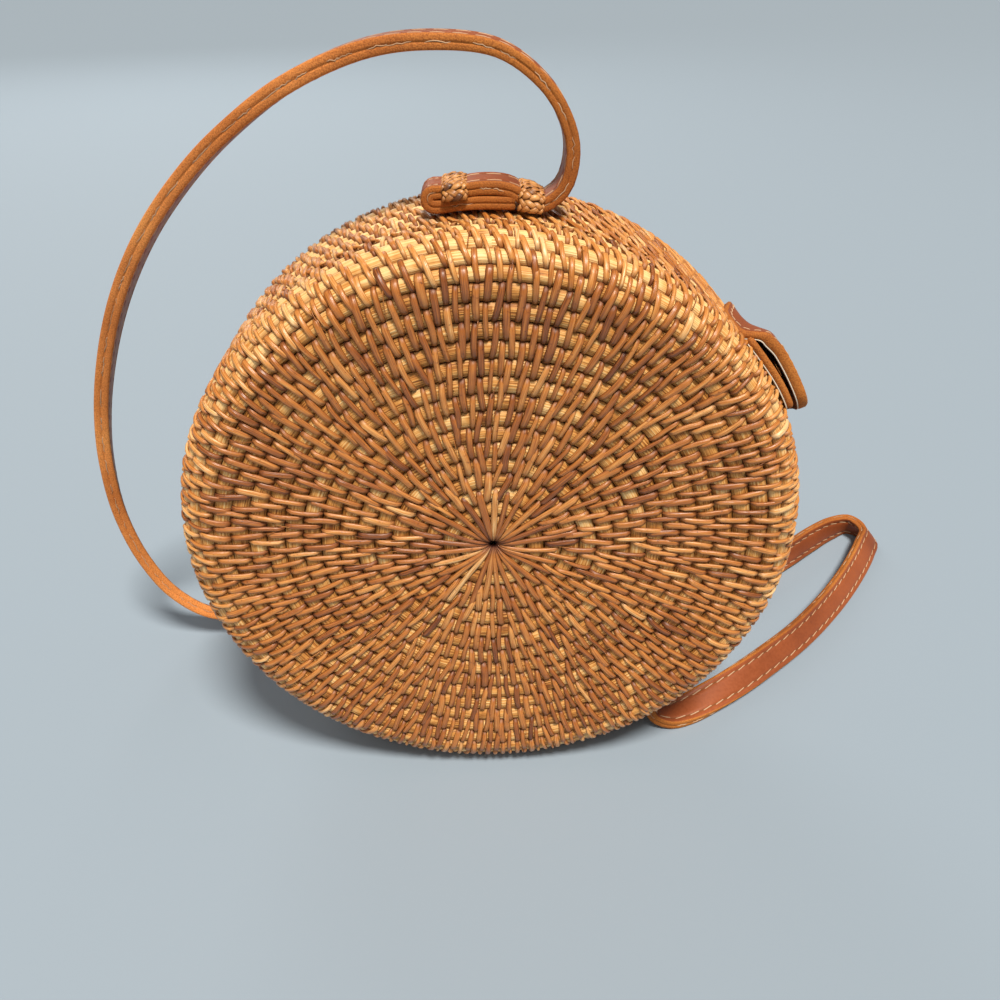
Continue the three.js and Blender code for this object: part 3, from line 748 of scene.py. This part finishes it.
def edge_fibres(side):
    """Pale fibres that stand out of the groove in one cut edge of the strap."""
    starts = np.cumsum(fibre_random.uniform(*EDGE_FIBRE["apart"], EDGE_FIBRE["most"]))
    starts = starts[starts < strap_at[-1] - 12]
    count = len(starts)
    t = np.linspace(0, 1, 7)
    place = starts[:, None] + fibre_random.uniform(*EDGE_FIBRE["length"], count)[:, None] * t
    centre, across, up = strip_places(place, strap_at, strap_line, strap_width, strap_normal)
    wave = fibre_random.normal(0, 0.16, (count, 7)) + fibre_random.normal(0, 0.3, count)[:, None] * t ** 2
    out = STRAP["width"] / 2 - 0.16 + 0.1 * np.sin(math.pi * t)
    centre = centre + across * (side * out)[:, None] + up * wave[..., None]
    thin = fibre_random.uniform(*EDGE_FIBRE["radius"], count)[:, None] * (1 - 0.5 * np.abs(2 * t - 1) ** 3)
    return round_tubes(centre, across, up, 5, thin)


as_piece("strap_edge_fibres", joined([edge_fibres(1), edge_fibres(-1)])[:3], "back", [thread])


# Plaited knots

KNOT = {"length": 7.0, "side": 6.25 + CLEAR + 1.4, "round": 3.6, "bulge": 0.7, "cell": 1.9, "row": 1.75}
# Name, place along the rim from the strap end, heights of foot and top above the rim, and slope of the top
KNOTS = [("fold", KNOT_AT, 3.6, 8.2, 0.0), ("exit", 11.3, 0.3, 6.2, -0.24)]
# Steps of one visible piece of a plaited strip: place, height and width
CELL_STEPS = np.array([(-1.0, -1.0, 0.8), (-0.7, -0.45, 0.95), (-0.25, 0.1, 1.0), (0.2, 0.32, 1.0),
                       (0.6, 0.3, 1.0), (0.85, 0.0, 0.95), (1.0, -0.8, 0.85)])
CELL = {"half_length": 1.55, "width": 1.5, "thick": 0.62, "turn": 40.0}
# A dark sheet under the cells: painted shade in the gaps between them
SHADE_SHEET = {"half_length": 3.2, "lifts": (-0.45, -0.95)}


def rim_axes(degrees):
    """A point on the rim at an angle, with the directions along the rim and outwards."""
    turn = math.radians(degrees)
    outwards = np.array([math.sin(turn), 0, math.cos(turn)])
    along = np.array([math.cos(turn), 0, -math.sin(turn)])
    return np.array([0, 0, RADIUS]) + RIM * outwards, along, outwards


def knot_band(degrees, foot, top, slope):
    """A function that puts points on a band over the strap: x along the rim, p along the band, and a lift."""
    side, bend = KNOT["side"], KNOT["round"]
    turns = np.radians(np.linspace(180, 90, 7))
    corner = np.stack([-side + bend + bend * np.cos(turns), top - bend + bend * np.sin(turns)], 1)
    path = np.concatenate([[(-side, foot)], corner, corner[::-1] * (-1, 1), [(side, foot)]])
    facing = np.concatenate([[math.pi], turns, math.pi - turns[::-1], [0]])
    length = lengths(path)
    origin, along, outwards = rim_axes(degrees)

    def place(x, p, lift):
        y, height, turn = (np.interp(p, length, values) for values in (path[:, 0], path[:, 1], facing))
        lift = lift + KNOT["bulge"] * (1 - (2 * x / KNOT["length"]) ** 2) - 0.6
        height = height + slope * x * (height - foot) / (top - foot)
        y, height = y + np.cos(turn) * lift, height + np.sin(turn) * lift
        return (origin + x[..., None] * along + (STRAP["y"] + y)[..., None] * Y_AXIS
                + height[..., None] * outwards)

    return place, length[-1]


def plaited_knot(name, degrees, foot, top, slope):
    """A knot of plaited cells over a dark sheet, which closes the gaps between them with painted shade."""
    place, length = knot_band(degrees, foot, top, slope)
    rows = round(length / KNOT["row"])
    row, column = [grid.ravel() for grid in np.meshgrid(np.arange(rows), np.arange(4), indexing="ij")]
    count = len(row)
    x = (column - 1.5) * KNOT["cell"] + (row % 2 - 0.5) * KNOT["cell"] / 2 + random.normal(0, 0.06, count)
    p = (row + 0.5) * length / rows + random.normal(0, 0.06, count)
    turn = np.radians(CELL["turn"]) * np.where(row % 2, -1, 1) + random.normal(0, 0.09, count)
    at, up, wide = CELL_STEPS.T
    run = CELL["half_length"] * at * (1 + random.normal(0, 0.06, count))[:, None]
    lift = up + random.normal(0, 0.08, count)[:, None]
    width = CELL["width"] * wide * (1 + random.normal(0, 0.07, count))[:, None]
    across = width[..., None] * SECTION[:, 0]
    cos, sin = np.cos(turn)[:, None, None], np.sin(turn)[:, None, None]
    cell_x = x[:, None, None] + run[..., None] * cos - across * sin
    cell_p = p[:, None, None] + run[..., None] * sin + across * cos
    half_length = KNOT["length"] / 2
    cell_x = half_length * np.tanh(cell_x / half_length * 1.25) / math.tanh(1.25)
    points = place(cell_x, np.clip(cell_p, 0, length), lift[..., None] + CELL["thick"] * SECTION[:, 1])
    cells = tubes(points, run + random.uniform(0, 500, (count, 1)))
    shade_sheet_x = SHADE_SHEET["half_length"] * np.array([-1, 1, 1, -1])
    shade_sheet_lift = np.repeat(SHADE_SHEET["lifts"], 2)
    shade_sheet_p = np.linspace(0.1, length - 0.1, 30)[:, None]
    shade_sheet = tubes(place(*np.broadcast_arrays(shade_sheet_x, shade_sheet_p, shade_sheet_lift))[None])
    # Painted shade at the ends of each cell, where it goes under its neighbours
    shade = np.interp(at, [-1, -0.6, 0.6, 1], [0.15, 0.95, 0.95, 0.15])
    attributes = strand_attributes(np.clip(random.normal(0.55, 0.2, count), 0, 1), shade, len(SECTION))
    # The sheet under the cells gets tone and shade 0, so it is painted shade
    attributes = {key: np.concatenate([values, np.zeros(len(shade_sheet[0]))]) for key, values in attributes.items()}
    as_piece(f"plait_{name}", joined([cells, shade_sheet]), "back", [plait_cane], (f"knot_{name}",),
             attributes)


for end, end_angle in enumerate(END_ANGLES, 1):
    for knot_name, along_rim, foot, top, slope in KNOTS:
        plaited_knot(f"{knot_name}_{end}", end_angle + math.degrees(along_rim / RIM), foot, top, slope)


# Closure

BASE = {"from": 48.0, "to": 64.5, "skew": 0, "thick": 2.5, "front": -24, "back": -14.7, "corners": (3, 3)}
FLAP = {"from": 41.3, "to": 65.5, "skew": 9, "thick": 3.5, "front": -23, "back": 14, "corners": (17, 6)}
FLAP_RISE = {"tuck": 3.0, "tuck_back": 1.2, "from": 46.0, "to": 50.4, "lift_to": 54, "lift": 0.8}
FLAP_STEP = (-13, -1)
LINING, LEATHER_ROUND, LINING_ROUND = 0.4, 0.55, 0.12
TAB_SEWING = {"inset": 1.9, "pitch": 3.2, "length": 2.2}
BACK_CORNER = 3.5
SEAT = CLEAR - 0.9


def base_height(angle, y):
    return SEAT - 0.8 * (1 - smoothstep(angle, 50, 62))


def flap_height(angle, y):
    climb = smoothstep(angle, FLAP_RISE["from"], FLAP_RISE["to"])
    free = smoothstep(angle, FLAP_RISE["to"], FLAP_RISE["lift_to"])
    over = 1 - smoothstep(y, *FLAP_STEP)
    straight = angle - FLAP["skew"] * (y - FLAP["front"]) / (FLAP["back"] - FLAP["front"])
    tucked = 1 - smoothstep(straight, FLAP_RISE["from"], FLAP_RISE["to"])
    low = SEAT - (FLAP_RISE["tuck"] * tucked * over + FLAP_RISE["tuck_back"] * (1 - over))
    return low + over * (climb * (BASE["thick"] + CLEAR) + free * FLAP_RISE["lift"])


def cut_corner(share, half_width, corner):
    """How far a rounded corner takes the edge back at a place along it."""
    past = np.maximum(np.abs(2 * share - 1) * half_width - (half_width - corner), 0)
    return corner - np.sqrt(np.maximum(corner ** 2 - past ** 2, 0))


def sheet_places(spec, height_at, share, depth, inset, lift):
    """Points on a leather sheet on the rim: share goes along the rim and depth from front to back, 0 to 1."""
    half_width = math.radians(spec["to"] - spec["from"]) / 2 * RIM
    start = spec["front"] + cut_corner(share, half_width, np.where(share < 0.5, *spec["corners"])) + inset
    back_edge = spec["back"] - cut_corner(share, half_width, BACK_CORNER) - inset
    y = start + (back_edge - start) * depth
    pulled = 0.5 + (share - 0.5) * (1 - inset / half_width)
    angle = spec["from"] + (spec["to"] - spec["from"]) * pulled
    angle = angle + spec["skew"] * (y - spec["front"]) / (spec["back"] - spec["front"])
    return on_rim(angle, y, height_at(angle, y) + lift)


def leather_sheet(spec, height_at, low, high, columns, rows, edge_round, indices):
    """A sheet with rounded edges. indices are the materials of its outside, its edge and its underside."""
    share, depth = np.meshgrid(np.linspace(0, 1, columns + 1), np.linspace(0, 1, rows + 1), indexing="ij")
    grid = np.arange(share.size).reshape(share.shape)
    rim = np.concatenate([grid[:-1, 0], grid[-1, :-1], grid[:0:-1, -1], grid[0, :0:-1]])
    levels = [(edge_round, low), (0, low + edge_round), (0, high - edge_round), (edge_round, high)]
    layers = [sheet_places(spec, height_at, share.ravel(), depth.ravel(), *level) for level in levels]
    size, ring = share.size, len(rim)
    verts = np.concatenate([layers[0], layers[1][rim], layers[2][rim], layers[3]])
    loop_of = [rim, size + np.arange(ring), size + ring + np.arange(ring), size + 2 * ring + rim]
    quads = np.stack([grid[:-1, :-1], grid[1:, :-1], grid[1:, 1:], grid[:-1, 1:]], -1).reshape(-1, 4)
    faces, index = [quads[:, ::-1], quads + size + 2 * ring], [indices[2], indices[0]]
    for lower, upper in zip(loop_of[:-1], loop_of[1:]):
        after = np.roll(np.arange(ring), -1)
        faces.append(np.stack([lower, lower[after], upper[after], upper], -1))
        index.append(indices[1])
    index = np.concatenate([np.full(len(f), i) for f, i in zip(faces, index)])
    faces = np.concatenate(faces)[:, ::-1]
    return verts, faces.reshape(-1), np.full(len(faces), 4), np.zeros((faces.size, 2)), index


def closure_piece(name, node, body, spec, height_at, columns, rows):
    """A leather tab with a pale lining under it, whose underside is painted shade."""
    leather = leather_sheet(spec, height_at, LINING, spec["thick"], columns, rows, LEATHER_ROUND, (0, 1, 1))
    under = leather_sheet(spec, height_at, 0, LINING - 0.02, columns, rows, LINING_ROUND, (2, 2, 3))
    as_piece(name, joined([leather[:4], under[:4]])[:3], body,
             [grain_leather, edge_leather, lining, painted_shade_leather], (node,),
             material_index=np.concatenate([leather[4], under[4]]))


def flap_sewing(share, depth):
    """Sewn stitches along a line on the flap."""
    line = sheet_places(FLAP, flap_height, share, depth, TAB_SEWING["inset"], FLAP["thick"])
    outwards = unit((line - (0, 0, RADIUS)) * (1, 0, 1))
    along = unit(np.gradient(line, axis=0))
    across = unit(np.cross(outwards, along))
    return sewing(line, across, np.cross(along, across), lengths(line), 0.0, 0.0, TAB_SEWING)


closure_piece("closure_tab", "closure_flap", "back", FLAP, flap_height, 48, 40)
closure_piece("closure_pad", "closure_base", "front", BASE, base_height, 32, 12)
sides = np.linspace(0.92, 0, 40)
flap_share = np.concatenate([np.zeros(40), np.linspace(0, 1, 60)[1:-1], np.ones(40)])
flap_depth = np.concatenate([sides, np.zeros(58), sides[::-1]])
flap_back = np.linspace(0.09, 0.91, 40)
seams = [flap_sewing(flap_share, flap_depth), flap_sewing(flap_back, np.ones(40))]
as_piece("closure_tab_sewing", joined(seams)[:3], "back", [thread])


def lathe(profile, sides, origin, axis_x, axis_y, axis_z):
    """Points of a turned piece, from (radius, height) rows along axis_z."""
    turn = np.arange(sides) * math.tau / sides
    radius, height = np.array(profile).T
    ring = axis_x * np.cos(turn)[:, None] + axis_y * np.sin(turn)[:, None]
    return tubes((origin + radius[:, None, None] * ring + height[:, None, None] * axis_z)[None])


SNAP = {"angle": 57, "y": -19, "foot": SEAT + BASE["thick"]}
SNAP_PROFILE = [(0.2, 0.0), (3.0, 0.0), (3.2, 0.12), (3.2, 0.24), (2.9, 0.36), (2.2, 0.4), (2.0, 0.62),
                (1.75, 0.8), (1.2, 0.78), (0.9, 0.55), (0.2, 0.5)]
origin, along, outwards = rim_axes(SNAP["angle"])
origin = origin + SNAP["foot"] * outwards + SNAP["y"] * Y_AXIS
snap = lathe(SNAP_PROFILE, 40, origin, along, Y_AXIS, outwards)
as_piece("snap_socket", snap[:3], "front", [snap_brass], ("snap_stud",))


# Hinge lashings

HINGE = {"angle": 234, "length": 8.0, "gap": 0.4, "ring": 2.9, "pin_length": 26.0}
LASHINGS = 4
LASHING = {"width_share": 0.96, "thick": 1.15, "inset": 0.6}
# Name, body, place along the pin, length of the leaf and the side that it lies on
HINGE_LOOPS = [("back_1", "back", -1, 14.0, 1), ("front", "front", 0, 8.0, -1),
               ("back_2", "back", 1, 14.0, 1)]


def lashing_path(leaf):
    """A strand's path across the rim: up out of the weave, along the leaf, and round the pin."""
    centre, radius = CLEAR + HINGE["ring"], HINGE["ring"] - LASHING["inset"]
    turns = np.radians(np.linspace(-45, 258, 15))
    ring = np.stack([radius * np.cos(turns), centre + radius * np.sin(turns)], 1)
    leaf_rows = [(leaf - 0.1, -2.3), (leaf - 0.35, -1.1), (leaf - 1.0, -0.2), (leaf - 2.4, 0.05),
                 (leaf / 2 + 1, 0.1), (3.4, 0.35)]
    return np.concatenate([leaf_rows, ring])


def hinge_loop(name, body, place, leaf, side):
    """A row of lashings that go round the pin from one half."""
    origin, along, outwards = rim_axes(HINGE["angle"])
    path = lashing_path(leaf)
    run = unit(np.gradient(path, axis=0))
    facing = np.stack([run[:, 1], -run[:, 0]], 1)
    step = HINGE["length"] / LASHINGS
    x = (np.arange(LASHINGS) - (LASHINGS - 1) / 2) * step + place * (HINGE["length"] + HINGE["gap"])
    across = step * LASHING["width_share"] * SECTION[:, 0]
    lift = LASHING["thick"] * SECTION[:, 1]
    flat = path[:, None] + lift[:, None] * facing[:, None]
    points = (origin + (x[:, None, None] + across)[..., None] * along
              + (SEAM_Y + side * flat[..., 0])[None, ..., None] * Y_AXIS
              + flat[..., 1][None, ..., None] * outwards)
    arrays = tubes(points, lengths(path) + random.uniform(0, 500, (LASHINGS, 1)))
    # Painted shade where each lashing comes up out of the weave
    shade = np.interp(np.arange(len(path)), [0, 2], [0.1, 1.0])
    attributes = strand_attributes(random.uniform(0.35, 0.75, LASHINGS), shade, len(SECTION))
    as_piece(f"lashing_{name}", arrays, body, [cane], (f"hinge_loop_{name}",), attributes)


for loop in HINGE_LOOPS:
    hinge_loop(*loop)

origin, along, outwards = rim_axes(HINGE["angle"])
pin_half = HINGE["pin_length"] / 2
pin_steps = [(0.35, -pin_half), (0.95, -pin_half + 0.12), (1.22, -pin_half + 0.6)]
pin_steps += [(1.24 + 0.05 * math.sin(1.9 * at), at) for at in np.linspace(-pin_half + 2, pin_half - 2, 16)]
pin_steps += [(radius, -at) for radius, at in pin_steps[2::-1]]
origin = origin + (CLEAR + HINGE["ring"]) * outwards + SEAM_Y * Y_AXIS
pin = lathe(pin_steps, 18, origin, Y_AXIS, outwards, along)
pin_tones = {"tone": np.full(len(pin[0]), 0.45), "shade": np.ones(len(pin[0]))}
as_piece("hinge_cane", pin, "back", [cane], ("hinge_pin",), pin_tones)


# Stage

def area_light(name, place, target, size, power, colour):
    data = bpy.data.lights.new(name, "AREA")
    data.shape = "DISK"
    data.size = size
    data.energy = power
    data.color = colour
    light = add_object(name, data)
    light.location = place
    direction = np.subtract(place, target)
    flat = math.hypot(*direction[:2])
    light.rotation_euler = (math.atan2(flat, direction[2]), 0, math.atan2(direction[0], -direction[1]))


def floor_piece():
    """A wide pale floor, not part of the bag."""
    mesh = bpy.data.meshes.new("floor")
    mesh.from_pydata([(-9, -9, 0), (9, -9, 0), (9, 9, 0), (-9, 9, 0)], [], [(0, 1, 2, 3)])
    look = Look("pale_floor")
    look.shader.inputs["Base Color"].default_value = (0.263, 0.322, 0.388, 1)
    look.shader.inputs["Roughness"].default_value = 0.8
    mesh.materials.append(look.material)
    floor = add_object("floor", mesh)


floor_piece()
sun = bpy.data.lights.new("sky_light", "SUN")
sun.energy = 4.6
sun.angle = math.radians(14)
sun.color = (1.0, 0.94, 0.84)
sky_light = add_object("sky_light", sun)
sky_light.rotation_euler = (math.radians(24), math.radians(8), 0)
area_light("fill", (-0.4, -1.5, 1.7), (0, 0, 0.1), 1.0, 8, (1.0, 0.95, 0.88))
area_light("back_fill", (-0.7, 1.7, 1.2), (0, 0, 0.1), 1.2, 9, (1.0, 0.96, 0.9))


def sky_world():
    """Soft light from all round, in front of a pale wall where the camera looks past the floor."""
    world = bpy.data.worlds.new("sky")
    world.use_nodes = True
    nodes, links = world.node_tree.nodes, world.node_tree.links
    light = nodes["Background"]
    light.inputs["Color"].default_value = (1.0, 0.97, 0.93, 1)
    light.inputs["Strength"].default_value = 0.2
    wall = nodes.new("ShaderNodeBackground")
    wall.inputs["Color"].default_value = (0.58, 0.63, 0.67, 1)
    rays, choice = nodes.new("ShaderNodeLightPath"), nodes.new("ShaderNodeMixShader")
    links.new(rays.outputs["Is Camera Ray"], choice.inputs[0])
    links.new(light.outputs[0], choice.inputs[1])
    links.new(wall.outputs[0], choice.inputs[2])
    links.new(choice.outputs[0], nodes["World Output"].inputs["Surface"])
    bpy.context.scene.world = world


sky_world()
bpy.context.scene.view_settings.view_transform = "Standard"

camera_data = bpy.data.cameras.new("camera")
camera_data.sensor_width = 36
camera_data.lens = 32.4
camera = add_object("camera", camera_data)
camera.location = (-0.005, -0.2668, 0.2674)
camera.rotation_euler = (math.radians(57.63), 0, math.radians(-1.73))
bpy.context.scene.camera = camera
